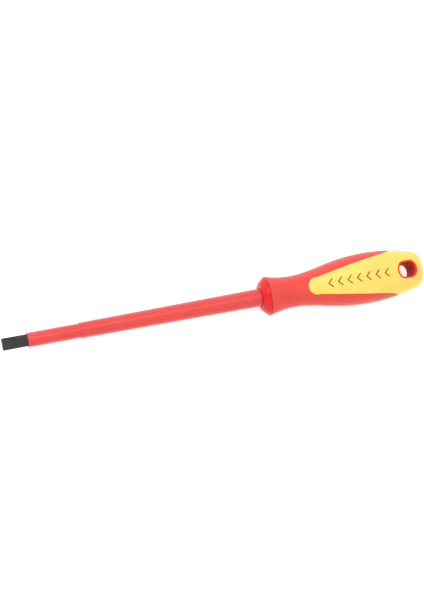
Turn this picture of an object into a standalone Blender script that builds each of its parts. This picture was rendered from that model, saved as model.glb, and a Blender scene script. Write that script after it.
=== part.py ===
"""Insulated flat-blade screwdriver, 1.2 x 8 x 175 mm, as the separate pieces that it is made of.

Metres, +Z up. The origin is the centre of the blade tip's end face. +X runs along the tool's axis to
the butt. +Z points out of the yellow face that the hanging hole goes through.
"""

from math import acos, copysign, cos, pi, radians, sin, sqrt, tan

import bmesh
import bpy

MM = 0.001
SIDES = 32
GAP = 0.3 * MM
SLIDE_GAP = 0.15 * MM

# Blade: a round bar, forged flat at the tip and pressed into two ears where the handle grips it.
BLADE_LENGTH = 175 * MM
TIP_WIDTH = 8.0 * MM
TIP_THICKNESS = 1.2 * MM
SHANK_RADIUS = 3.8 * MM
FORGED_LENGTH = 26 * MM
EAR_START = BLADE_LENGTH + 33 * MM
EAR_END = EAR_START + 16 * MM
EAR_BLEND = 2.5 * MM
EAR_HALF_WIDTH = 6.0 * MM
EAR_HALF_DEPTH = 2.4 * MM
BLADE_END = EAR_END + 6 * MM

# Blade insulation: a slim inner layer to near the tip, and a tapered outer layer over it.
EXPOSED_TIP = 17 * MM
INNER_LAYER_RADIUS = 4.8 * MM
INNER_LAYER_END = BLADE_LENGTH + 17 * MM
OUTER_LAYER_START = 52.5 * MM
OUTER_LAYER_FRONT_RADIUS = 5.22 * MM
OUTER_LAYER_REAR_RADIUS = 5.95 * MM
OUTER_LAYER_END = BLADE_LENGTH + 9 * MM
EDGE = 0.4 * MM

# Handle: nose cone, flange, waist, belly and a domed butt.
HANDLE_LENGTH = 112.2 * MM
NOSE_FACE_RADIUS = 8.8 * MM
NOSE_SHOULDER = (3.4 * MM, 12.1 * MM)
FLANGE = (4.7 * MM, 12.95 * MM)
DOME_START = 102 * MM
# Half-widths of the grip at the distances behind the handle's front face that shape it.
SWEEP = [
    FLANGE,
    (9.5 * MM, 11.75 * MM),
    (14.5 * MM, 10.8 * MM),
    (21.5 * MM, 10.3 * MM),
    (29 * MM, 10.7 * MM),
    (38 * MM, 12.15 * MM),
    (48 * MM, 14.2 * MM),
    (59 * MM, 15.9 * MM),
    (70.5 * MM, 16.6 * MM),
    (82 * MM, 16.3 * MM),
    (93 * MM, 15.0 * MM),
    (DOME_START, 13.1 * MM),
]
SWEEP_STEPS = 20
DOME_STEPS = 5
DOME_END_ANGLE = radians(85)
WAIST = 25 * MM
BELLY = 62 * MM
BELLY_DEPTH_RATIO = 0.92
BELLY_SQUARENESS = 2.5
SKIN = 3.0 * MM
CORE_END = BLADE_LENGTH + 105 * MM

# Yellow body: two tapering tongues, one on each face, that join in the butt.
TONGUE_TIP = BLADE_LENGTH + 31 * MM
TONGUE_TIP_RADIUS = 5.95 * MM
TONGUE_TIP_TAPER = radians(11.6)
TONGUE_NECK_TAPER = radians(7.3)
TONGUE_SIDE_STEPS = 4
WING_NECK = BLADE_LENGTH + 87 * MM
WING_END = BLADE_LENGTH + 91.6 * MM
WING_END_HALF_WIDTH = 15.5 * MM
REGION_HALF_WIDTH = 20 * MM

# Hanging hole: a circle with two flats, lined in red.
HOLE_X = BLADE_LENGTH + 98.8 * MM
LINER_RADIUS = 6.95 * MM
LINER_FLAT = 5.9 * MM
HOLE_RADIUS = 5.6 * MM
HOLE_FLAT = 4.75 * MM

# Inlays: a plain row of chevrons on each face, joined by a rail below the surface.
CHEVRONS = 7
CHEVRON_PITCH = 6.4 * MM
CHEVRON_FIRST_X = BLADE_LENGTH + 44.2 * MM
CHEVRON_HALF_HEIGHT = 2.8 * MM
CHEVRON_DEPTH = 2.6 * MM
CHEVRON_STROKE = 1.3 * MM
RAIL_HALF_WIDTH = 1.2 * MM
RAIL_BOTTOM = 7.9 * MM
RAIL_TOP = 8.9 * MM

THROUGH = 25 * MM


# ---------------------------------------------------------------- scene, materials and small helpers


def clear_scene():
    for obj in list(bpy.data.objects):
        bpy.data.objects.remove(obj)


def new_collection(name):
    collection = bpy.data.collections.new(name)
    bpy.context.scene.collection.children.link(collection)
    return collection


def new_material(name, colour, roughness, metallic=0.0):
    material = bpy.data.materials.new(name)
    material.use_nodes = True
    shader = material.node_tree.nodes["Principled BSDF"]
    shader.inputs["Base Color"].default_value = (*colour, 1)
    shader.inputs["Roughness"].default_value = roughness
    shader.inputs["Metallic"].default_value = metallic
    return material


def finish_mesh(name, mesh, collection):
    """A mesh as an object, with its faces pointing out and its round sides shaded smooth."""
    cleaned = bmesh.new()
    cleaned.from_mesh(mesh)
    bmesh.ops.recalc_face_normals(cleaned, faces=cleaned.faces)
    cleaned.to_mesh(mesh)
    cleaned.free()
    mesh.shade_smooth()
    mesh.set_sharp_from_angle(angle=radians(35))
    obj = bpy.data.objects.new(name, mesh)
    collection.objects.link(obj)
    return obj


def make_cutter(obj):
    obj.hide_render = True
    obj.display_type = "WIRE"
    return obj


def cut(obj, operation, other):
    modifier = obj.modifiers.new(f"{operation.lower()} {other.name}", "BOOLEAN")
    modifier.operation = operation
    modifier.object = other


# ---------------------------------------------------------------- shapes


def section(x, half_width, half_depth, squareness):
    """One closed ring across the axis: an ellipse at squareness 2, nearly a rectangle above 8."""
    power = 2 / squareness
    ring = []
    for i in range(SIDES):
        turn = 2 * pi * i / SIDES
        across, up = cos(turn), sin(turn)
        y = half_width * copysign(abs(across) ** power, across)
        z = half_depth * copysign(abs(up) ** power, up)
        ring.append((x, y, z))
    return ring


def loft(name, rings, collection):
    """A closed solid through rings of equally many points, with a flat face on each end."""
    made = bmesh.new()
    loops = [[made.verts.new(point) for point in ring] for ring in rings]
    for before, after in zip(loops, loops[1:]):
        for i in range(SIDES):
            j = (i + 1) % SIDES
            made.faces.new((before[i], before[j], after[j], after[i]))
    made.faces.new(loops[0])
    made.faces.new(loops[-1])
    mesh = bpy.data.meshes.new(name)
    made.to_mesh(mesh)
    made.free()
    return finish_mesh(name, mesh, collection)


def turned(name, profile, collection, closed=False):
    """A profile of (radius, distance along the axis) turned about the tool's axis."""
    points = [(radius, 0, along) for radius, along in profile]
    edges = [(i, i + 1) for i in range(len(points) - 1)]
    if closed:
        edges.append((len(points) - 1, 0))
    mesh = bpy.data.meshes.new(name)
    mesh.from_pydata(points, edges, [])
    obj = bpy.data.objects.new(name, mesh)
    obj.rotation_euler = (0, pi / 2, 0)
    collection.objects.link(obj)
    screw = obj.modifiers.new("turn", "SCREW")
    screw.steps = SIDES
    screw.render_steps = SIDES
    screw.use_merge_vertices = True
    screw.merge_threshold = 0.00001
    screw.use_smooth_shade = True
    return obj


def prism(name, outlines, low, high, collection):
    """Flat outlines in the plane of the handle's face, extruded from height low to height high."""
    curve = bpy.data.curves.new(name, "CURVE")
    curve.dimensions = "2D"
    curve.fill_mode = "BOTH"
    curve.extrude = (high - low) / 2
    for outline in outlines:
        spline = curve.splines.new("POLY")
        spline.points.add(len(outline) - 1)
        for point, (x, y) in zip(spline.points, outline):
            point.co = (x, y, 0, 1)
        spline.use_cyclic_u = True
    drawn = bpy.data.objects.new(f"{name} outline", curve)
    drawn.location.z = (low + high) / 2
    collection.objects.link(drawn)
    bpy.context.view_layer.update()
    evaluated = drawn.evaluated_get(bpy.context.evaluated_depsgraph_get())
    mesh = bpy.data.meshes.new_from_object(evaluated)
    mesh.transform(drawn.matrix_world)
    bpy.data.objects.remove(drawn)
    welded = bmesh.new()
    welded.from_mesh(mesh)
    bmesh.ops.remove_doubles(welded, verts=welded.verts, dist=0.00001)
    welded.to_mesh(mesh)
    welded.free()
    return finish_mesh(name, mesh, collection)


# ---------------------------------------------------------------- the forms that the pieces share


def smoothstep(value, start, end):
    share = min(max((value - start) / (end - start), 0), 1)
    return share * share * (3 - 2 * share)


def sweep_radius(behind):
    """Catmull-Rom curve through SWEEP."""
    last = len(SWEEP) - 1
    i = next((k for k in range(last) if behind <= SWEEP[k + 1][0]), last - 1)
    (x0, r0), (x1, r1) = SWEEP[i], SWEEP[i + 1]
    slope_in = slope_at(i)
    slope_out = slope_at(i + 1)
    t = (behind - x0) / (x1 - x0)
    rise = (2 * t**3 - 3 * t**2 + 1) * r0 + (3 * t**2 - 2 * t**3) * r1
    return rise + (x1 - x0) * ((t**3 - 2 * t**2 + t) * slope_in + (t**3 - t**2) * slope_out)


def slope_at(i):
    before = SWEEP[max(i - 1, 0)]
    after = SWEEP[min(i + 1, len(SWEEP) - 1)]
    return (after[1] - before[1]) / (after[0] - before[0])


def handle_radius(x):
    """Half the handle's width at x, from the flange to the butt."""
    behind = x - BLADE_LENGTH
    if behind <= DOME_START:
        return sweep_radius(behind)
    share = (behind - DOME_START) / (HANDLE_LENGTH - DOME_START)
    taper = SWEEP[-1][1] + slope_at(len(SWEEP) - 1) * (behind - DOME_START)
    return taper * sqrt(max(1 - share**4, 0))


def handle_section(x, inset=0.0):
    """The handle's ring at x: round at the waist, squarer and less deep at the belly."""
    fullness = smoothstep(x - BLADE_LENGTH, WAIST, BELLY)
    width = handle_radius(x) - inset
    depth = width * (1 + (BELLY_DEPTH_RATIO - 1) * fullness)
    return section(x, width, depth, 2 + (BELLY_SQUARENESS - 2) * fullness)


def sweep_stations(start, end):
    return [start + (end - start) * i / SWEEP_STEPS for i in range(SWEEP_STEPS + 1)]


def outer_form(name, collection):
    """The whole outside of the handle behind its flange."""
    dome_x = BLADE_LENGTH + DOME_START
    stations = sweep_stations(BLADE_LENGTH + FLANGE[0] + GAP, dome_x)
    for k in range(1, DOME_STEPS + 1):
        turn = k / DOME_STEPS * DOME_END_ANGLE
        stations.append(dome_x + (HANDLE_LENGTH - DOME_START) * sin(turn))
    return loft(name, [handle_section(x) for x in stations], collection)


def core_rings(extra):
    """The hard core below the grip and body, with its nose in front; extra grows all of it."""
    face = BLADE_LENGTH
    step = BLADE_LENGTH + FLANGE[0]
    nose = [(face, NOSE_FACE_RADIUS)]
    nose += [(face + NOSE_SHOULDER[0], NOSE_SHOULDER[1]), (step, FLANGE[1])]
    rings = [section(x, radius + extra, radius + extra, 2) for x, radius in nose]
    stations = sweep_stations(step + extra, CORE_END + extra)
    return rings + [handle_section(x, SKIN - extra) for x in stations]


def core_clearance(collection):
    """What the grip and the body leave free for the core."""
    stations = sweep_stations(BLADE_LENGTH, CORE_END + GAP)
    rings = [handle_section(max(x, BLADE_LENGTH + FLANGE[0]), SKIN - GAP) for x in stations]
    moved = [[(x, y, z) for _, y, z in ring] for x, ring in zip(stations, rings)]
    return make_cutter(loft("core_clearance", moved, collection))


def blade_rings(extra):
    """The blade's sections from tip to end; extra grows them for the clearance around it."""
    tip_width, tip_depth = TIP_WIDTH / 2, TIP_THICKNESS / 2
    shank = (SHANK_RADIUS, SHANK_RADIUS, 2)
    ear = (EAR_HALF_WIDTH, EAR_HALF_DEPTH, 2.6)
    sections = [
        (0, tip_width, tip_depth, 14),
        (3 * MM, tip_width, tip_depth * 1.05, 14),
        (9 * MM, tip_width * 0.985, 1.15 * MM, 9),
        (15 * MM, tip_width * 0.97, 1.95 * MM, 5),
        (20 * MM, tip_width * 0.96, 2.9 * MM, 3.2),
        (FORGED_LENGTH, *shank),
        (EAR_START - EAR_BLEND, *shank),
        (EAR_START, *ear),
        (EAR_END, *ear),
        (EAR_END + EAR_BLEND, *shank),
        (BLADE_END - 2 * EDGE, *shank),
        (BLADE_END + extra, SHANK_RADIUS - 2 * EDGE, SHANK_RADIUS - 2 * EDGE, 2),
    ]
    return [section(x, width + extra, depth + extra, n) for x, width, depth, n in sections]


def flatted_circle(radius, flat, grow=0.0):
    """A circle about the hanging hole's axis, cut off by a flat on each side."""
    radius, flat = radius + grow, flat + grow
    reach = pi / 2 - acos(flat / radius)
    points = []
    for centre in (0, pi):
        for i in range(9):
            turn = centre - reach + 2 * reach * i / 8
            points.append((HOLE_X + radius * cos(turn), radius * sin(turn)))
    return points


def body_region(grow):
    """Plan outline of the yellow body: a tongue with a round tip that widens into the butt."""
    radius = TONGUE_TIP_RADIUS + grow
    centre = TONGUE_TIP + TONGUE_TIP_RADIUS
    sweep = pi / 2 + TONGUE_TIP_TAPER
    tip = []
    for i in range(13):
        turn = pi + sweep - 2 * sweep * i / 12
        tip.append((centre + radius * cos(turn), -radius * sin(turn)))
    edge_x, edge_y = tip[-1]
    half = (WING_NECK - edge_x) / 2
    bend = edge_y - half * tan(TONGUE_TIP_TAPER)
    neck = bend - half * tan(TONGUE_NECK_TAPER)
    side = []
    for i in range(1, TONGUE_SIDE_STEPS + 1):
        t = i / TONGUE_SIDE_STEPS
        y = edge_y * (1 - t) ** 2 + bend * 2 * t * (1 - t) + neck * t * t
        side.append((edge_x + 2 * half * t, y))
    side += [(WING_END - grow, -WING_END_HALF_WIDTH), (WING_END - grow, -REGION_HALF_WIDTH)]
    side += [(BLADE_LENGTH + HANDLE_LENGTH + THROUGH, -REGION_HALF_WIDTH)]
    return tip + side + [(x, -y) for x, y in reversed(side)]


def chevrons(grow):
    """Outlines of the row of chevrons, whose points are towards the blade."""
    half_stroke = CHEVRON_STROKE / 2 + grow
    height = CHEVRON_HALF_HEIGHT + grow
    outlines = []
    for i in range(CHEVRONS):
        x = CHEVRON_FIRST_X + i * CHEVRON_PITCH
        rear = x + CHEVRON_DEPTH
        front_edge = [(rear - half_stroke, height), (x - half_stroke, 0), (rear - half_stroke, -height)]
        rear_edge = [(rear + half_stroke, -height), (x + half_stroke, 0), (rear + half_stroke, height)]
        outlines.append(front_edge + rear_edge)
    return outlines


def rail(grow):
    start = CHEVRON_FIRST_X - RAIL_HALF_WIDTH - grow
    end = CHEVRON_FIRST_X + (CHEVRONS - 1) * CHEVRON_PITCH + CHEVRON_DEPTH + RAIL_HALF_WIDTH + grow
    side = RAIL_HALF_WIDTH + grow
    return [(start, -side), (end, -side), (end, side), (start, side)]


def inlay_solid(name, face, grow, collection, helpers):
    """The chevrons on their rail; face is 1 for the upper side and -1 for the lower one."""
    heights = sorted((face * (RAIL_BOTTOM - grow), face * (RAIL_TOP + grow)))
    solid = prism(name, [rail(grow)], *heights, collection)
    heights = sorted((face * (RAIL_BOTTOM + RAIL_TOP) / 2, face * THROUGH))
    marks = make_cutter(prism(f"{name}_chevrons", chevrons(grow), *heights, helpers))
    cut(solid, "UNION", marks)
    return solid


# ---------------------------------------------------------------- the pieces


def blade(parts, steel):
    obj = loft("blade", blade_rings(0), parts)
    obj.data.materials.append(steel)


def inner_insulation(parts, plastic, blade_space):
    radius = INNER_LAYER_RADIUS
    profile = [(0, INNER_LAYER_END), (radius, INNER_LAYER_END), (radius, EXPOSED_TIP + EDGE)]
    profile += [(radius - EDGE, EXPOSED_TIP), (0, EXPOSED_TIP)]
    obj = turned("inner_insulation", profile, parts)
    obj.data.materials.append(plastic)
    cut(obj, "DIFFERENCE", blade_space)


def outer_insulation(parts, plastic):
    bore = INNER_LAYER_RADIUS + SLIDE_GAP
    front = OUTER_LAYER_FRONT_RADIUS
    profile = [
        (bore, OUTER_LAYER_END),
        (OUTER_LAYER_REAR_RADIUS, OUTER_LAYER_END),
        (front, OUTER_LAYER_START + EDGE / 2),
        (front - EDGE / 3, OUTER_LAYER_START),
        (bore, OUTER_LAYER_START),
    ]
    obj = turned("outer_insulation", profile, parts, closed=True)
    obj.data.materials.append(plastic)


def insulation_space(helpers):
    """The bore for both layers of the insulation in the handle's core."""
    wide = OUTER_LAYER_REAR_RADIUS + SLIDE_GAP
    slim = INNER_LAYER_RADIUS + SLIDE_GAP
    profile = [(0, INNER_LAYER_END + GAP), (slim, INNER_LAYER_END + GAP)]
    profile += [(slim, OUTER_LAYER_END + GAP), (wide, OUTER_LAYER_END + GAP)]
    profile += [(wide, BLADE_LENGTH - THROUGH), (0, BLADE_LENGTH - THROUGH)]
    return make_cutter(turned("insulation_space", profile, helpers))


def handle_core(parts, plastic, blade_space, liner_space, inlay_spaces, helpers):
    obj = loft("handle_core", core_rings(0), parts)
    obj.data.materials.append(plastic)
    for space in [insulation_space(helpers), blade_space, liner_space, *inlay_spaces]:
        cut(obj, "DIFFERENCE", space)


def handle_body(parts, plastic, core_space, liner_space, inlay_spaces, helpers):
    obj = outer_form("handle_body", parts)
    obj.data.materials.append(plastic)
    region = prism("body_region", [body_region(0)], -THROUGH, THROUGH, helpers)
    cut(obj, "INTERSECT", make_cutter(region))
    for space in [core_space, liner_space, *inlay_spaces]:
        cut(obj, "DIFFERENCE", space)


def soft_grip(parts, rubber, core_space, helpers):
    obj = outer_form("soft_grip", parts)
    obj.data.materials.append(rubber)
    region = prism("grip_limit", [body_region(GAP)], -THROUGH, THROUGH, helpers)
    cut(obj, "DIFFERENCE", make_cutter(region))
    cut(obj, "DIFFERENCE", core_space)


def hang_hole_liner(parts, plastic, form, helpers):
    outline = flatted_circle(LINER_RADIUS, LINER_FLAT)
    obj = prism("hang_hole_liner", [outline], -THROUGH, THROUGH, parts)
    obj.data.materials.append(plastic)
    outline = flatted_circle(HOLE_RADIUS, HOLE_FLAT)
    hole = prism("hang_hole", [outline], -2 * THROUGH, 2 * THROUGH, helpers)
    cut(obj, "INTERSECT", form)
    cut(obj, "DIFFERENCE", make_cutter(hole))


def mark_inlays(parts, plastic, form, helpers):
    for name, face in (("mark_inlay_top", 1), ("mark_inlay_bottom", -1)):
        obj = inlay_solid(name, face, 0, parts, helpers)
        obj.data.materials.append(plastic)
        cut(obj, "INTERSECT", form)


def main():
    clear_scene()
    parts = new_collection("insulated_screwdriver")
    helpers = new_collection("helpers")

    steel = new_material("black_oxide_steel", (0.06, 0.058, 0.058), 0.45, 0.8)
    sleeve = new_material("red_insulation", (0.78, 0.06, 0.05), 0.32)
    core = new_material("red_core", (0.76, 0.05, 0.04), 0.28)
    rubber = new_material("red_soft_grip", (0.80, 0.08, 0.055), 0.6)
    yellow = new_material("yellow_body", (0.95, 0.74, 0.14), 0.42)

    blade_space = make_cutter(loft("blade_space", blade_rings(SLIDE_GAP), helpers))
    outline = flatted_circle(LINER_RADIUS, LINER_FLAT, GAP)
    liner_space = make_cutter(prism("liner_space", [outline], -THROUGH, THROUGH, helpers))
    core_space = core_clearance(helpers)
    form = make_cutter(outer_form("outer_form", helpers))
    inlay_spaces = []
    for name, face in (("inlay_space_top", 1), ("inlay_space_bottom", -1)):
        inlay_spaces.append(make_cutter(inlay_solid(name, face, GAP, helpers, helpers)))

    blade(parts, steel)
    inner_insulation(parts, sleeve, blade_space)
    outer_insulation(parts, sleeve)
    handle_core(parts, core, blade_space, liner_space, inlay_spaces, helpers)
    handle_body(parts, yellow, core_space, liner_space, inlay_spaces, helpers)
    soft_grip(parts, rubber, core_space, helpers)
    hang_hole_liner(parts, core, form, helpers)
    mark_inlays(parts, core, form, helpers)


main()
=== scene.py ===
"""Looks of the insulated screwdriver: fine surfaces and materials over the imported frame.

Metres, in the frame's own axes: +X runs from the blade tip to the butt, +Z out of the yellow face.
"""

from math import acos, copysign, cos, pi, radians, sin, sqrt, tan

import bmesh
import bpy
from mathutils import Matrix, Vector


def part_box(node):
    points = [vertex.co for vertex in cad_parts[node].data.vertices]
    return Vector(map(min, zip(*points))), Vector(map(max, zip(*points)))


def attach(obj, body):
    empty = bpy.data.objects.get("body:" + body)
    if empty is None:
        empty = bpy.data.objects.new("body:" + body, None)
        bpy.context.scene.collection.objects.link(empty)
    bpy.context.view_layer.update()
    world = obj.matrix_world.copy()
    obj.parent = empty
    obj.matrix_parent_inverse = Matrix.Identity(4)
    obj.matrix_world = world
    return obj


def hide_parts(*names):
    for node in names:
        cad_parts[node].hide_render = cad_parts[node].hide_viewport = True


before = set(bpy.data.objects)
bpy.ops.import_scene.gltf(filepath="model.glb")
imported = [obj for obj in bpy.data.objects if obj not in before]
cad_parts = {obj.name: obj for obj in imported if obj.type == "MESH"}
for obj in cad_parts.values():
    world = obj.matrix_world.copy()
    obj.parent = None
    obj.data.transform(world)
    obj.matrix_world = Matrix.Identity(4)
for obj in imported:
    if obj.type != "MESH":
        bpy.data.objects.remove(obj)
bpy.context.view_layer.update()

MM = 0.001

# ---------------------------------------------------------------- sizes read from the frame

BLADE_LOW, BLADE_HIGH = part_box("blade")
INNER_LOW, INNER_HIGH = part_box("inner_insulation")
OUTER_LOW, OUTER_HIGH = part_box("outer_insulation")
CORE_LOW, CORE_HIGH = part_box("handle_core")
LINER_LOW, LINER_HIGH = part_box("hang_hole_liner")
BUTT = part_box("handle_body")[1].x
FIRST_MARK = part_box("mark_inlay_top")[0].x

FACE = CORE_LOW.x
HOLE = (LINER_LOW.x + LINER_HIGH.x) / 2
INNER_RADIUS = INNER_HIGH.y
OUTER_REAR_RADIUS = OUTER_HIGH.y
EAR_HALF_WIDTH = BLADE_HIGH.y
SHANK_RADIUS = BLADE_HIGH.z
LINER_RADIUS = (LINER_HIGH.x - LINER_LOW.x) / 2
LINER_FLAT = LINER_HIGH.y

# ---------------------------------------------------------------- design sizes the frame can't give

TIP_HALF_WIDTH = 4.0 * MM
TIP_HALF_THICKNESS = 0.6 * MM
EAR_START = FACE + 33 * MM
EAR_END = EAR_START + 16 * MM
EAR_HALF_DEPTH = 2.4 * MM
OUTER_FRONT_RADIUS = 5.22 * MM
SLIDE_GAP = 0.15 * MM
GROOVE = 0.3 * MM
SEAM_GAP = 0.16 * MM
SKIN = 3.0 * MM

NOSE_FACE_RADIUS = 8.8 * MM
NOSE_SHOULDER = (3.4 * MM, 12.1 * MM)
FLANGE = (4.7 * MM, 12.95 * MM)
# Half-widths of the handle at the distances behind its front face that shape it.
SWEEP = [
    FLANGE,
    (9.5 * MM, 11.75 * MM),
    (14.5 * MM, 10.8 * MM),
    (21.5 * MM, 10.3 * MM),
    (29 * MM, 10.7 * MM),
    (38 * MM, 12.15 * MM),
    (48 * MM, 14.2 * MM),
    (59 * MM, 15.9 * MM),
    (70.5 * MM, 16.6 * MM),
    (82 * MM, 16.3 * MM),
    (93 * MM, 15.0 * MM),
    (102 * MM, 13.1 * MM),
]
BUTT_END = FACE + 112.2 * MM
WAIST = 25 * MM
BELLY = 62 * MM
BELLY_DEPTH_RATIO = 0.92
BELLY_SQUARENESS = 2.5

TONGUE_TIP = FACE + 31 * MM
TONGUE_TIP_RADIUS = 5.95 * MM
TONGUE_TIP_TAPER = radians(11.6)
TONGUE_NECK_TAPER = radians(7.3)
WING_NECK = FACE + 84 * MM
WING_END = FACE + 91.6 * MM
HOLE_RADIUS = 5.6 * MM
HOLE_FLAT = 4.75 * MM

CHEVRONS = 7
CHEVRON_PITCH = 6.4 * MM
CHEVRON_HALF_HEIGHT = 2.8 * MM
CHEVRON_DEPTH = 2.6 * MM
CHEVRON_STROKE = 1.3 * MM

# ---------------------------------------------------------------- camera

VIEW_TIP_FORWARD = radians(13.65)
VIEW_SIDE_TILT = radians(4.0)
VIEW_ROLL = radians(10.39)
VIEW_DISTANCE = 2.88
VIEW_LENS_MM = 264.3
VIEW_SENSOR_MM = 36
VIEW_ALONG = 143 * MM
VIEW_SHIFT = (-0.9 * MM, 3.88 * MM)


def smoothstep(value, start, end):
    share = min(max((value - start) / (end - start), 0), 1)
    return share * share * (3 - 2 * share)


def mix(a, b, share):
    return a + (b - a) * share


# ---------------------------------------------------------------- mesh building


RING_SIDES = 96
HOLE_SIDES = 120
WELD = 0.004 * MM
THROUGH = 25 * MM

class Skin:
    """Collects rows of points as sheets of quads, and welds them into one object."""

    def __init__(self, name):
        self.name = name
        self.made = bmesh.new()

    def sheet(self, rows, loop=False, ring=False):
        """Quads between rows; loop joins the last row to the first, ring joins each row's ends."""
        verts = [[self.made.verts.new(point) for point in row] for row in rows]
        if loop:
            verts.append(verts[0])
        for before, after in zip(verts, verts[1:]):
            count = len(before)
            for i in range(count if ring else count - 1):
                j = (i + 1) % count
                self.made.faces.new((before[i], before[j], after[j], after[i]))
        return self

    def cap(self, row):
        """One flat face over a row that goes round."""
        self.made.faces.new([self.made.verts.new(point) for point in row])
        return self

    def finish(self, slot, replaced=(), sharp=40):
        """Welds the sheets, and adds the object to the scene as a piece that rides on the frame."""
        bmesh.ops.remove_doubles(self.made, verts=self.made.verts, dist=WELD)
        bmesh.ops.recalc_face_normals(self.made, faces=self.made.faces)
        mesh = bpy.data.meshes.new(self.name)
        self.made.to_mesh(mesh)
        self.made.free()
        obj = bpy.data.objects.new(self.name, mesh)
        bpy.context.scene.collection.objects.link(obj)
        mesh.shade_smooth()
        mesh.set_sharp_from_angle(angle=radians(sharp))
        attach(obj, "root")
        if replaced:
            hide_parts(*replaced)
        return obj


def ring_of(x, half_width, half_depth, squareness=2.0):
    """A closed row across the axis: an ellipse at squareness 2, nearly a rectangle above 8."""
    power = 2 / squareness
    row = []
    for i in range(RING_SIDES):
        turn = 2 * pi * i / RING_SIDES
        across, up = cos(turn), sin(turn)
        y = half_width * copysign(abs(across) ** power, across)
        z = half_depth * copysign(abs(up) ** power, up)
        row.append((x, y, z))
    return row


def rounded(corners):
    """A turned profile of (x, radius, rounding) corners, with each corner rounded by that much."""
    steps = 6
    points = []
    count = len(corners)
    for i, (x, r, rounding) in enumerate(corners):
        here = Vector((x, r))
        if rounding <= 0:
            points.append((x, r))
            continue
        before = Vector(corners[(i - 1) % count][:2]) - here
        after = Vector(corners[(i + 1) % count][:2]) - here
        start = here + before.normalized() * rounding
        end = here + after.normalized() * rounding
        for k in range(steps + 1):
            t = k / steps
            point = start * (1 - t) ** 2 + here * 2 * t * (1 - t) + end * t * t
            points.append((point.x, point.y))
    return points


def cut_away(obj, cutter):
    """Takes the cutter's shape out of obj and removes the cutter."""
    modifier = obj.modifiers.new("cut", "BOOLEAN")
    modifier.operation = "DIFFERENCE"
    modifier.object = cutter
    evaluated = obj.evaluated_get(bpy.context.evaluated_depsgraph_get())
    mesh = bpy.data.meshes.new_from_object(evaluated)
    obj.modifiers.clear()
    obj.data = mesh
    mesh.set_sharp_from_angle(angle=radians(40))
    bpy.data.objects.remove(cutter)


def prism(name, outline, low, high):
    """A closed solid over a plan outline, as a cutter."""
    made = bmesh.new()
    bottom = [made.verts.new((x, y, low)) for x, y in outline]
    top = [made.verts.new((x, y, high)) for x, y in outline]
    made.faces.new(bottom)
    made.faces.new(top)
    for i in range(len(outline)):
        j = (i + 1) % len(outline)
        made.faces.new((bottom[i], bottom[j], top[j], top[i]))
    bmesh.ops.recalc_face_normals(made, faces=made.faces)
    mesh = bpy.data.meshes.new(name)
    made.to_mesh(mesh)
    made.free()
    obj = bpy.data.objects.new(name, mesh)
    bpy.context.scene.collection.objects.link(obj)
    return obj


# ---------------------------------------------------------------- the handle's outside form


def slope_at(i):
    before = SWEEP[max(i - 1, 0)]
    after = SWEEP[min(i + 1, len(SWEEP) - 1)]
    return (after[1] - before[1]) / (after[0] - before[0])


def half_width(x):
    """Half the handle's width at x: a smooth curve through SWEEP, then the dome of the butt."""
    behind = x - FACE
    dome, last = SWEEP[-1]
    if behind > dome:
        share = (behind - dome) / (BUTT_END - FACE - dome)
        taper = last + slope_at(len(SWEEP) - 1) * (behind - dome)
        return taper * sqrt(max(1 - share**4, 0))
    i = next((k for k in range(len(SWEEP) - 1) if behind <= SWEEP[k + 1][0]), 0)
    (x0, r0), (x1, r1) = SWEEP[i], SWEEP[i + 1]
    t = (behind - x0) / (x1 - x0)
    through = (2 * t**3 - 3 * t**2 + 1) * r0 + (3 * t**2 - 2 * t**3) * r1
    lean = (t**3 - 2 * t**2 + t) * slope_at(i) + (t**3 - t**2) * slope_at(i + 1)
    return through + (x1 - x0) * lean


def squareness(x):
    return mix(2, BELLY_SQUARENESS, smoothstep(x - FACE, WAIST, BELLY))


def on_form(x, turn, inset=0.0):
    """The point of the handle's outside at x, turned from +Y towards +Z, sunk by inset."""
    power = 2 / squareness(x)
    flatten = mix(1, BELLY_DEPTH_RATIO, smoothstep(x - FACE, WAIST, BELLY))
    width = max(half_width(x) - inset, 0)
    across, up = cos(turn), sin(turn)
    y = width * copysign(abs(across) ** power, across)
    z = width * flatten * copysign(abs(up) ** power, up)
    return Vector((x, y, z))


def turn_at(x, y):
    """The turn, from 0 to a quarter, at which the form at x is y away from the middle plane."""
    share = min(abs(y) / max(half_width(x), 1e-9), 1)
    return acos(share ** (squareness(x) / 2))


def over_plan(x, y, inset=0.0):
    """The point of the form's upper half straight above (x, y)."""
    turn = turn_at(x, y)
    if y < 0:
        turn = pi - turn
    return on_form(x, turn, inset)


# ---------------------------------------------------------------- the line between yellow and red


ARC_STEPS = 16
SIDE_STEPS = 34
FLARE_STEPS = 18


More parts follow.
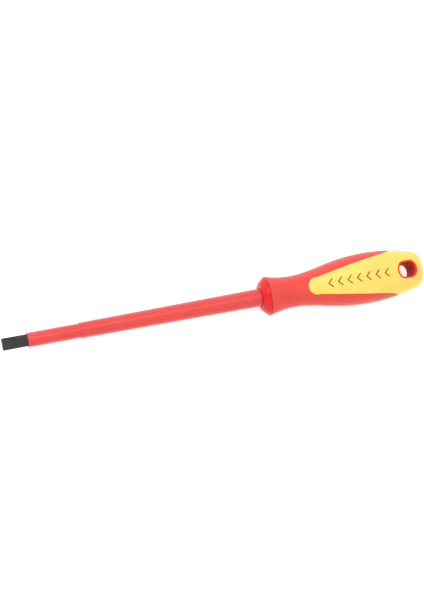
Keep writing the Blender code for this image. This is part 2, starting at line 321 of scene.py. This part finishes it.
def seam(grow):
    """Stations (x, turn) along the tongue's edge, from its tip to the rear end of the red wing.

    A positive grow moves the line out of the yellow and into the red.
    """
    radius = TONGUE_TIP_RADIUS + grow
    centre = TONGUE_TIP + TONGUE_TIP_RADIUS
    sweep = pi / 2 + TONGUE_TIP_TAPER
    plan = []
    for k in range(ARC_STEPS):
        angle = sweep * k / ARC_STEPS
        plan.append((centre - radius * cos(angle), radius * sin(angle)))
    start_x, start_y = centre - radius * cos(sweep), radius * sin(sweep)
    half = (WING_NECK - start_x) / 2
    side_y = start_y + half * tan(TONGUE_TIP_TAPER)
    neck_y = side_y + half * tan(TONGUE_NECK_TAPER)
    for k in range(SIDE_STEPS):
        t = k / SIDE_STEPS
        y = start_y * (1 - t) ** 2 + side_y * 2 * t * (1 - t) + neck_y * t * t
        plan.append((mix(start_x, WING_NECK, t), y))
    end_x = WING_END - grow
    end_y = half_width(end_x)
    bend_x = mix(WING_NECK, end_x, 0.62)
    bend_y = neck_y + (bend_x - WING_NECK) * tan(TONGUE_NECK_TAPER)
    for k in range(FLARE_STEPS + 1):
        t = 1 - (1 - k / FLARE_STEPS) ** 2
        x = WING_NECK * (1 - t) ** 2 + bend_x * 2 * t * (1 - t) + end_x * t * t
        y = neck_y * (1 - t) ** 2 + bend_y * 2 * t * (1 - t) + end_y * t * t
        plan.append((x, y))
    return [(x, turn_at(x, y)) for x, y in plan]


def lip_steps(rounding, depth):
    """(shift, inset) pairs that roll an edge over and then run down to depth."""
    steps = 5
    pairs = []
    for k in range(steps + 1):
        angle = pi / 2 * k / steps
        pairs.append((rounding * (1 - sin(angle)), rounding * (1 - cos(angle))))
    return pairs + [(0, depth)]


def mirrored(rows, y=1, z=1):
    return [[(point[0], y * point[1], z * point[2]) for point in row] for row in rows]


def seam_chain(grow, inset):
    """The line between yellow and red on the upper side, from one wing's rear end to the other's."""
    near = [on_form(x, turn, inset) for x, turn in seam(grow)]
    far = [(point.x, -point.y, point.z) for point in near]
    return near[::-1] + far[1:]


def steps_between(start, end, count):
    return [mix(start, end, k / count) for k in range(count + 1)]


# ---------------------------------------------------------------- blade and insulation


BLADE_STEPS = 5


def blade_sections(extra=0.0):
    """(x, half width, half thickness, squareness) from the tip to the shank's buried end."""
    shank = (SHANK_RADIUS, SHANK_RADIUS, 2)
    ear = (EAR_HALF_WIDTH, EAR_HALF_DEPTH, 2.6)
    blend = 2.5 * MM
    keys = [
        (BLADE_LOW.x, TIP_HALF_WIDTH, TIP_HALF_THICKNESS, 14),
        (3 * MM, TIP_HALF_WIDTH, TIP_HALF_THICKNESS * 1.05, 14),
        (9 * MM, TIP_HALF_WIDTH * 0.985, 1.15 * MM, 9),
        (15 * MM, TIP_HALF_WIDTH * 0.97, 1.95 * MM, 5),
        (20 * MM, TIP_HALF_WIDTH * 0.96, 2.9 * MM, 3.2),
        (26 * MM, *shank),
        (EAR_START - blend, *shank),
        (EAR_START, *ear),
        (EAR_END, *ear),
        (EAR_END + blend, *shank),
        (BLADE_HIGH.x - 0.8 * MM, *shank),
        (BLADE_HIGH.x + extra, SHANK_RADIUS * 0.8, SHANK_RADIUS * 0.8, 2),
    ]
    found = []
    for before, after in zip(keys, keys[1:]):
        for k in range(BLADE_STEPS):
            found.append([mix(a, b, k / BLADE_STEPS) for a, b in zip(before, after)])
    found.append(list(keys[-1]))
    return [(x, w + extra, t + extra, n) for x, w, t, n in found]


def blade():
    """The ground flat, the forged transition and the shank with its pressed ears."""
    break_edge = 0.07 * MM
    sections = blade_sections()
    x, width, depth, square = sections[0]
    rows = [[(x, 0, 0)] * RING_SIDES]
    for share in (0, 0.3, 1):
        sink = break_edge * (1 - sqrt(share))
        rows.append(ring_of(x + share * break_edge, width - sink, depth - sink, square))
    rows += [ring_of(*section) for section in sections[1:]]
    rows.append([(sections[-1][0], 0, 0)] * RING_SIDES)
    piece = Skin("ground_blade").sheet(rows, ring=True)
    return piece.finish("blade_steel", ["blade"], sharp=30)


def inner_sleeve():
    """The slim insulation layer; its bore follows the blade where it comes out."""
    rounding = 0.55 * MM
    rows = []
    for k in range(7):
        angle = pi / 2 * k / 6
        radius = INNER_RADIUS - rounding * (1 - sin(angle))
        rows.append(ring_of(INNER_LOW.x + rounding * (1 - cos(angle)), radius, radius))
    for x in steps_between(INNER_LOW.x + 2 * MM, INNER_HIGH.x, 24):
        rows.append(ring_of(x, INNER_RADIUS, INNER_RADIUS))
    bore = SHANK_RADIUS + SLIDE_GAP
    rows.append(ring_of(INNER_HIGH.x, bore, bore))
    sections = [s for s in blade_sections(SLIDE_GAP) if INNER_LOW.x < s[0] < FACE]
    rows += [ring_of(*section) for section in reversed(sections)]
    rows.append(ring_of(INNER_LOW.x, *sections[0][1:]))
    piece = Skin("inner_sleeve").sheet(rows, ring=True, loop=True)
    return piece.finish("insulation", ["inner_insulation"])


def outer_sleeve():
    """The tapered insulation layer over the slim one."""
    bore = INNER_RADIUS + SLIDE_GAP
    corners = [
        (OUTER_LOW.x, bore, 0.1 * MM),
        (OUTER_LOW.x, OUTER_FRONT_RADIUS, 0.22 * MM),
        (OUTER_HIGH.x, OUTER_REAR_RADIUS, 0.3 * MM),
        (OUTER_HIGH.x, bore, 0),
    ]
    profile = rounded(corners)
    rows = []
    for (x, r), (next_x, next_r) in zip(profile, profile[1:] + profile[:1]):
        count = max(1, round(abs(next_x - x) / (6 * MM)))
        for k in range(count):
            radius = mix(r, next_r, k / count)
            rows.append(ring_of(mix(x, next_x, k / count), radius, radius))
    piece = Skin("outer_sleeve").sheet(rows, ring=True, loop=True)
    return piece.finish("insulation", ["outer_insulation"])


# ---------------------------------------------------------------- handle


LIP = 0.28 * MM
FACE_COLUMNS = 48
WING_COLUMNS = 40
BUTT_STEPS = 16
DOME_STEPS = 18


def flatted(angle, radius, flat):
    """Distance from the hanging hole's axis to a circle with two flats and soft corners."""
    sharpness = 16
    return (radius**-sharpness + (abs(sin(angle)) / flat) ** sharpness) ** (-1 / sharpness)


def hole_outline(radius, flat):
    points = []
    for i in range(HOLE_SIDES):
        angle = 2 * pi * i / HOLE_SIDES
        reach = flatted(angle, radius, flat)
        points.append((HOLE + reach * cos(angle), reach * sin(angle)))
    return points


def cut_hole(obj):
    grow = 0.08 * MM
    outline = hole_outline(LINER_RADIUS + grow, LINER_FLAT + grow)
    cut_away(obj, prism("hole_cutter", outline, -THROUGH, THROUGH))


def hard_core():
    """The nose in front of the grip, and the core that runs on below the grip and the body."""
    seat = OUTER_REAR_RADIUS + SLIDE_GAP
    slim = INNER_RADIUS + SLIDE_GAP
    buried = [s for s in blade_sections(SLIDE_GAP) if s[0] > INNER_HIGH.x]
    rows = [[(buried[-1][0], 0, 0)] * RING_SIDES]
    rows += [ring_of(*section) for section in reversed(buried)]
    pocket = [(INNER_HIGH.x + GROOVE, slim), (OUTER_HIGH.x + GROOVE, slim)]
    pocket += [(OUTER_HIGH.x + GROOVE, seat)]
    rows += [ring_of(x, r, r) for x, r in pocket]
    behind = FACE + FLANGE[0]
    corners = [
        (FACE + 4 * MM, seat, 0),
        (FACE, seat, 0.35 * MM),
        (FACE, NOSE_FACE_RADIUS, 0.9 * MM),
        (FACE + NOSE_SHOULDER[0], NOSE_SHOULDER[1], 0.9 * MM),
        (behind, FLANGE[1], 0.3 * MM),
        (behind, half_width(behind) - SKIN, 0),
    ]
    rows += [ring_of(x, r, r) for x, r in rounded(corners)]
    for x in steps_between(behind + GROOVE, CORE_HIGH.x, 40):
        rows.append([on_form(x, 2 * pi * i / RING_SIDES, SKIN) for i in range(RING_SIDES)])
    rows.append([(CORE_HIGH.x, 0, 0)] * RING_SIDES)
    obj = Skin("hard_core").sheet(rows, ring=True).finish("hard_red", ["handle_core"], sharp=50)
    cut_hole(obj)
    return obj


def butt_stations(start):
    dome = FACE + SWEEP[-1][0]
    stations = steps_between(start, dome, BUTT_STEPS)[1:]
    for k in range(1, DOME_STEPS + 1):
        stations.append(mix(dome, BUTT_END, sin(pi / 2 * k / DOME_STEPS)))
    return stations


def body_half(grow, inset, end):
    """Rows over one yellow face and its half of the butt, which stops at end."""
    rows = []
    for x, turn in seam(grow):
        turns = steps_between(turn, pi - turn, FACE_COLUMNS)
        rows.append([on_form(x, t, inset) for t in turns])
    for x in butt_stations(WING_END - grow):
        turns = steps_between(0, pi, FACE_COLUMNS)
        points = [on_form(x, t, inset) for t in turns]
        rows.append([(min(x, end), point.y, point.z) for point in points])
    return rows


def yellow_body():
    """Two tongues and the butt in one skin, with their edges rolled over into the seam."""
    under = SKIN - GROOVE
    skin = Skin("yellow_body")
    rim = [seam_chain(-shift, inset) for shift, inset in lip_steps(LIP, under)]
    for side in (1, -1):
        skin.sheet(mirrored(body_half(-LIP, 0, BUTT), z=side))
        skin.sheet(mirrored(body_half(0, under, CORE_HIGH.x + GROOVE), z=side))
        skin.sheet(mirrored(rim, z=side))
    obj = skin.finish("hard_yellow", ["handle_body"])
    cut_hole(obj)
    return obj


def grip_half(grow, inset, lip=0.0):
    """Rows over one red side, from the flange to its wing's rear end."""
    front = FACE + FLANGE[0] + SEAM_GAP
    rows = []
    for x in steps_between(front + lip, TONGUE_TIP - grow, 30)[:-1]:
        turns = steps_between(-pi / 2, pi / 2, WING_COLUMNS)
        rows.append([on_form(x, t, inset) for t in turns])
    for x, turn in seam(grow):
        turns = steps_between(-turn, turn, WING_COLUMNS)
        rows.append([on_form(x, t, inset) for t in turns])
    return rows


def grip_front(depth):
    """Rows that roll the grip's front edge over, behind the flange."""
    front = FACE + FLANGE[0] + SEAM_GAP
    rows = []
    for shift, inset in lip_steps(LIP, depth):
        turns = steps_between(-pi / 2, pi / 2, WING_COLUMNS)
        rows.append([on_form(front + shift, t, inset) for t in turns])
    return rows


def soft_grip():
    """The waisted red sleeve with a wing down each side, its edges rolled over into the seam."""
    under = SKIN - GROOVE
    skin = Skin("soft_grip_skin")
    rim = [seam_chain(SEAM_GAP + shift, inset) for shift, inset in lip_steps(LIP, under)]
    for side in (1, -1):
        skin.sheet(mirrored(grip_half(SEAM_GAP + LIP, 0, LIP), y=side))
        skin.sheet(mirrored(grip_half(SEAM_GAP, under), y=side))
        skin.sheet(mirrored(grip_front(under), y=side))
        skin.sheet(mirrored(rim, z=side))
    return skin.finish("soft_red", ["soft_grip"])


def hole_liner():
    """The red liner of the hanging hole: a low bead, a flared mouth and a drafted bore each side."""
    proud = 0.15 * MM
    bead_height = 0.45 * MM
    flare_depth = 2.2 * MM
    draft = 0.45 * MM
    rows = []
    for i in range(HOLE_SIDES):
        angle = 2 * pi * i / HOLE_SIDES
        outer = flatted(angle, LINER_RADIUS, LINER_FLAT)
        inner = flatted(angle, HOLE_RADIUS, HOLE_FLAT)
        crest = mix(inner, outer, 0.35)
        surface = over_plan(HOLE + crest * cos(angle), crest * sin(angle)).z
        profile = []
        for k in range(9):
            around = pi / 2 * k / 8
            reach = crest + (outer - crest) * sqrt(cos(around))
            profile.append((reach, surface + proud - bead_height * (1 - sqrt(sin(around)))))
        for k in range(1, 9):
            around = pi / 2 * k / 8
            reach = crest - (crest - inner) * sin(around)
            profile.append((reach, surface + proud - flare_depth * (1 - cos(around))))
        edge = profile[-1][1]
        profile += [(inner - draft * share, edge * (1 - share)) for share in (0.3, 0.6, 1)]
        upper = [(HOLE + r * cos(angle), r * sin(angle), z) for r, z in profile]
        lower = [(x, y, -z) for x, y, z in reversed(upper[:-1])]
        rows.append(upper + lower)
    piece = Skin("hole_liner").sheet(rows, ring=True, loop=True)
    return piece.finish("hard_red", ["hang_hole_liner"])


def face_marks(name, node, side):
    """A plain row of chevrons, inlaid in one yellow face."""
    half = CHEVRON_STROKE / 2
    soft = 0.1 * MM
    profile = [(-half, -0.5 * MM), (-half, -0.02 * MM), (-half + soft, 0.05 * MM)]
    profile += [(half - soft, 0.05 * MM), (half, -0.02 * MM), (half, -0.5 * MM)]
    first = FIRST_MARK + CHEVRON_STROKE
    skin = Skin(name)
    for i in range(CHEVRONS):
        point_x = first + i * CHEVRON_PITCH
        rows = []
        for along in steps_between(-1, 1, 16):
            x = point_x + abs(along) * CHEVRON_DEPTH
            y = along * CHEVRON_HALF_HEIGHT
            rows.append([over_plan(x + dx, y, -rise) for dx, rise in profile])
        skin.sheet(mirrored(rows, z=side), ring=True)
        for row in (rows[0], rows[-1]):
            skin.cap(mirrored([row], z=side)[0])
    return skin.finish("mark", [node])


# ---------------------------------------------------------------- materials


class Look:
    """A Principled material; values that are the same all over it go straight on its sockets."""

    def __init__(self, name, **values):
        self.material = bpy.data.materials.new(name)
        self.material.use_nodes = True
        self.nodes = self.material.node_tree.nodes
        self.links = self.material.node_tree.links
        self.shader = self.nodes["Principled BSDF"]
        for label, value in values.items():
            self.shader.inputs[label.replace("_", " ")].default_value = value
        self.place = self.nodes.new("ShaderNodeTexCoord").outputs["Object"]

    def noise(self, size, detail=3.0, stretch=(1, 1, 1)):
        """Noise whose grains are about size across, in metres, and longer by stretch."""
        mapping = self.nodes.new("ShaderNodeMapping")
        mapping.inputs["Scale"].default_value = [1 / (size * s) for s in stretch]
        self.links.new(self.place, mapping.inputs["Vector"])
        texture = self.nodes.new("ShaderNodeTexNoise")
        texture.inputs["Scale"].default_value = 1
        texture.inputs["Detail"].default_value = detail
        self.links.new(mapping.outputs["Vector"], texture.inputs["Vector"])
        return texture.outputs["Fac"]

    def spread(self, value, low, high, start=0.3, end=0.7):
        """value, from start to end, as a number from low to high."""
        node = self.nodes.new("ShaderNodeMapRange")
        for label, number in zip(("From Min", "From Max", "To Min", "To Max"), (start, end, low, high)):
            node.inputs[label].default_value = number
        self.links.new(value, node.inputs["Value"])
        return node.outputs["Result"]

    def blend(self, share, first, second):
        """first where share is 0, second where it is 1; each is a colour or a socket."""
        node = self.nodes.new("ShaderNodeMix")
        node.data_type = "RGBA"
        self.links.new(share, node.inputs["Factor"])
        for label, colour in (("A", first), ("B", second)):
            socket = next(s for s in node.inputs if s.name == label and s.type == "RGBA")
            if isinstance(colour, tuple):
                socket.default_value = (*colour, 1)
            else:
                self.links.new(colour, socket)
        return next(s for s in node.outputs if s.type == "RGBA")

    def along(self, axis):
        """The distance along one of the object's axes, in metres."""
        node = self.nodes.new("ShaderNodeSeparateXYZ")
        self.links.new(self.place, node.inputs["Vector"])
        return node.outputs[axis]

    def paint(self, label, value):
        self.links.new(value, self.shader.inputs[label])

    def bump(self, *layers):
        """Relief from (height, depth in metres) layers, one over the other."""
        below = None
        for height, depth in layers:
            node = self.nodes.new("ShaderNodeBump")
            node.inputs["Distance"].default_value = depth
            self.links.new(height, node.inputs["Height"])
            if below:
                self.links.new(below, node.inputs["Normal"])
            below = node.outputs["Normal"]
        self.links.new(below, self.shader.inputs["Normal"])


def black_oxide():
    """Ground and blackened steel, mottled, with fine scratches across the flat."""
    look = Look("black_oxide", Metallic=0.75, Specular_IOR_Level=0.4)
    mottle = look.noise(1.6 * MM, 5)
    tone = look.blend(look.spread(mottle, 0, 1), (0.014, 0.0135, 0.0145), (0.04, 0.038, 0.038))
    scratch = look.noise(0.5 * MM, 6, stretch=(0.16, 5, 1))
    bare = look.spread(scratch, 0, 0.55, 0.6, 0.78)
    worn = look.blend(bare, tone, (0.11, 0.105, 0.1))
    edge = look.spread(look.along("X"), 0.7, 0, 0, 0.5 * MM)
    look.paint("Base Color", look.blend(edge, worn, (0.2, 0.19, 0.185)))
    look.paint("Roughness", look.spread(mottle, 0.36, 0.6))
    look.bump((look.noise(0.25 * MM, 4), 0.012 * MM), (scratch, 0.01 * MM))
    return look.material


def sleeve_plastic():
    """Satin-gloss insulation, with faint flow streaks along it and a slight orange peel."""
    look = Look("sleeve_plastic", Specular_IOR_Level=0.3)
    streak = look.noise(1.2 * MM, 4, stretch=(14, 1, 1))
    cloud = look.noise(9 * MM, 2)
    base = look.blend(look.spread(cloud, 0, 1), (0.52, 0.040, 0.035), (0.56, 0.046, 0.041))
    look.paint("Base Color", look.blend(look.spread(streak, 0, 0.5), base, (0.58, 0.055, 0.048)))
    look.paint("Roughness", look.spread(look.noise(0.8 * MM, 3), 0.2, 0.3))
    look.bump((look.noise(5 * MM, 2), 0.015 * MM), (look.noise(0.3 * MM, 3), 0.004 * MM))
    return look.material


def core_plastic():
    """Glossy, deeper red moulding of the nose."""
    look = Look("core_plastic", Specular_IOR_Level=0.2)
    cloud = look.noise(4 * MM, 3)
    tone = look.blend(look.spread(cloud, 0, 1), (0.48, 0.006, 0.006), (0.54, 0.010, 0.010))
    look.paint("Base Color", tone)
    look.paint("Roughness", look.spread(look.noise(0.7 * MM, 3), 0.24, 0.36))
    look.bump((look.noise(1.8 * MM, 2), 0.02 * MM), (look.noise(0.25 * MM, 3), 0.004 * MM))
    return look.material


def liner_plastic():
    """Dull red lining, rubbed a little smoother in patches by what it hangs on."""
    look = Look("liner_plastic", Specular_IOR_Level=0.08)
    cloud = look.noise(3 * MM, 3)
    tone = look.blend(look.spread(cloud, 0, 1), (0.60, 0.036, 0.028), (0.66, 0.046, 0.036))
    look.paint("Base Color", tone)
    look.paint("Roughness", look.spread(look.noise(2 * MM, 3), 0.5, 0.7))
    look.bump((look.noise(0.4 * MM, 3), 0.008 * MM))
    return look.material


def grip_rubber():
    """Soft-touch red: eroded mould grain, a soft sheen, and slightly polished high spots."""
    look = Look("grip_rubber", Sheen_Weight=0.03, Sheen_Roughness=0.5, Specular_IOR_Level=0.25)
    cloud = look.noise(11 * MM, 3)
    grain = look.noise(0.22 * MM, 5)
    tone = look.blend(look.spread(cloud, 0, 1), (0.54, 0.043, 0.030), (0.58, 0.050, 0.036))
    look.paint("Base Color", look.blend(look.spread(grain, 0, 0.25), tone, (0.62, 0.058, 0.042)))
    look.paint("Roughness", look.spread(look.noise(3 * MM, 4), 0.44, 0.58))
    look.bump((look.noise(3 * MM, 2), 0.02 * MM), (grain, 0.02 * MM))
    return look.material


def yellow_plastic():
    """Satin yellow moulding with a fine mould grain and faint handling marks."""
    look = Look("yellow_plastic", Specular_IOR_Level=0.3)
    cloud = look.noise(10 * MM, 3)
    grain = look.noise(0.3 * MM, 4)
    scuff = look.noise(0.5 * MM, 5, stretch=(8, 1, 1))
    tone = look.blend(look.spread(cloud, 0, 1), (0.66, 0.485, 0.088), (0.69, 0.52, 0.106))
    marks = look.spread(scuff, 0, 0.18, 0.6, 0.8)
    look.paint("Base Color", look.blend(marks, tone, (0.58, 0.42, 0.07)))
    look.paint("Roughness", look.spread(look.noise(2 * MM, 4), 0.36, 0.5))
    look.bump((look.noise(3 * MM, 2), 0.02 * MM), (grain, 0.01 * MM))
    return look.material


def mark_plastic():
    """Red-brown inlay with a dull, slightly uneven face."""
    look = Look("mark_plastic", Specular_IOR_Level=0.2)
    cloud = look.noise(0.9 * MM, 4)
    tone = look.blend(look.spread(cloud, 0, 1), (0.29, 0.056, 0.006), (0.37, 0.076, 0.009))
    look.paint("Base Color", tone)
    look.paint("Roughness", look.spread(cloud, 0.42, 0.6))
    look.bump((look.noise(0.2 * MM, 3), 0.01 * MM))
    return look.material


def floor_paint():
    """Plain white, and a little brighter than the light alone makes it, as in a product shot."""
    glow = {"Emission_Color": (1, 1, 1, 1), "Emission_Strength": 0.35}
    look = Look("floor_paint", Roughness=0.8, Specular_IOR_Level=0.2, **glow)
    cloud = look.noise(60 * MM, 3)
    tone = look.blend(look.spread(cloud, 0, 1), (0.93, 0.93, 0.93), (0.95, 0.95, 0.95))
    look.paint("Base Color", tone)
    return look.material


# ---------------------------------------------------------------- floor, light and camera


FLOOR_HALF_SIZE = 3
WORLD_STRENGTH = 1.18
LIGHT_AIM = (0.15, 0, 0)
# Each softbox's name, place, width, height and watts.
SOFTBOXES = [
    ("key_softbox", (-0.2, 0.55, 1.4), 0.8, 0.6, 7.2),
    ("side_softbox", (-0.75, 0.45, 0.5), 0.3, 0.3, 2.5),
    ("strip_softbox", (0.45, 0.27, 1.38), 0.7, 0.08, 1.6),
]

def resting_plane():
    """A point on the floor and its upward normal: the flange and the belly rest on it."""
    flange = Vector((FACE + FLANGE[0], 0, -FLANGE[1]))
    lines = [on_form(x, -pi / 2) - flange for x in steps_between(FACE + 50 * MM, FACE + 90 * MM, 80)]
    steepest = min(lines, key=lambda line: line.z / line.x)
    return flange, Vector((-steepest.z, 0, steepest.x)).normalized()


def add_floor():
    point, up = resting_plane()
    mesh = bpy.data.meshes.new("studio_floor")
    made = bmesh.new()
    bmesh.ops.create_grid(made, x_segments=12, y_segments=12, size=FLOOR_HALF_SIZE)
    made.to_mesh(mesh)
    made.free()
    floor = bpy.data.objects.new("studio_floor", mesh)
    bpy.context.scene.collection.objects.link(floor)
    floor.rotation_mode = "QUATERNION"
    floor.rotation_quaternion = up.to_track_quat("Z", "Y")
    floor.location = point
    mesh.materials.append(floor_paint())


def add_softbox(name, place, width, height, power):
    light = bpy.data.lights.new(name, "AREA")
    light.shape = "RECTANGLE"
    light.size = width
    light.size_y = height
    light.energy = power
    obj = bpy.data.objects.new(name, light)
    obj.location = place
    obj.rotation_euler = (Vector(LIGHT_AIM) - Vector(place)).to_track_quat("-Z", "Y").to_euler()
    bpy.context.scene.collection.objects.link(obj)


def add_light():
    world = bpy.data.worlds.new("studio")
    world.use_nodes = True
    background = world.node_tree.nodes["Background"]
    background.inputs["Color"].default_value = (1, 1, 1, 1)
    background.inputs["Strength"].default_value = WORLD_STRENGTH
    bpy.context.scene.world = world
    for softbox in SOFTBOXES:
        add_softbox(*softbox)
    bpy.context.scene.view_settings.view_transform = "Standard"


def add_camera():
    """A long lens over the tool, whose tip comes a little towards the camera."""
    forward, tilt = VIEW_TIP_FORWARD, VIEW_SIDE_TILT
    toward = Vector((-sin(forward), -sin(tilt) * cos(forward), cos(tilt) * cos(forward)))
    tool = Vector((1, 0, 0))
    tool = (tool - toward * tool.dot(toward)).normalized()
    across = toward.cross(tool)
    right = tool * cos(VIEW_ROLL) - across * sin(VIEW_ROLL)
    up = tool * sin(VIEW_ROLL) + across * cos(VIEW_ROLL)
    target = Vector((VIEW_ALONG, 0, 0)) + right * VIEW_SHIFT[0] + up * VIEW_SHIFT[1]
    place = target + toward * VIEW_DISTANCE
    data = bpy.data.cameras.new("camera")
    data.sensor_width = VIEW_SENSOR_MM
    data.lens = VIEW_LENS_MM
    data.clip_end = 20
    camera = bpy.data.objects.new("camera", data)
    turned = Matrix((right, up, toward)).transposed().to_4x4()
    camera.matrix_world = Matrix.Translation(place) @ turned
    bpy.context.scene.collection.objects.link(camera)
    bpy.context.scene.camera = camera


def main():
    looks = [
        (blade(), black_oxide()),
        (inner_sleeve(), sleeve_plastic()),
        (outer_sleeve(), sleeve_plastic()),
        (hard_core(), core_plastic()),
        (yellow_body(), yellow_plastic()),
        (soft_grip(), grip_rubber()),
        (hole_liner(), liner_plastic()),
        (face_marks("face_marks_top", "mark_inlay_top", 1), mark_plastic()),
        (face_marks("face_marks_bottom", "mark_inlay_bottom", -1), mark_plastic()),
    ]
    for obj, material in looks:
        obj.data.materials.clear()
        obj.data.materials.append(material)
    add_floor()
    add_light()
    add_camera()


main()
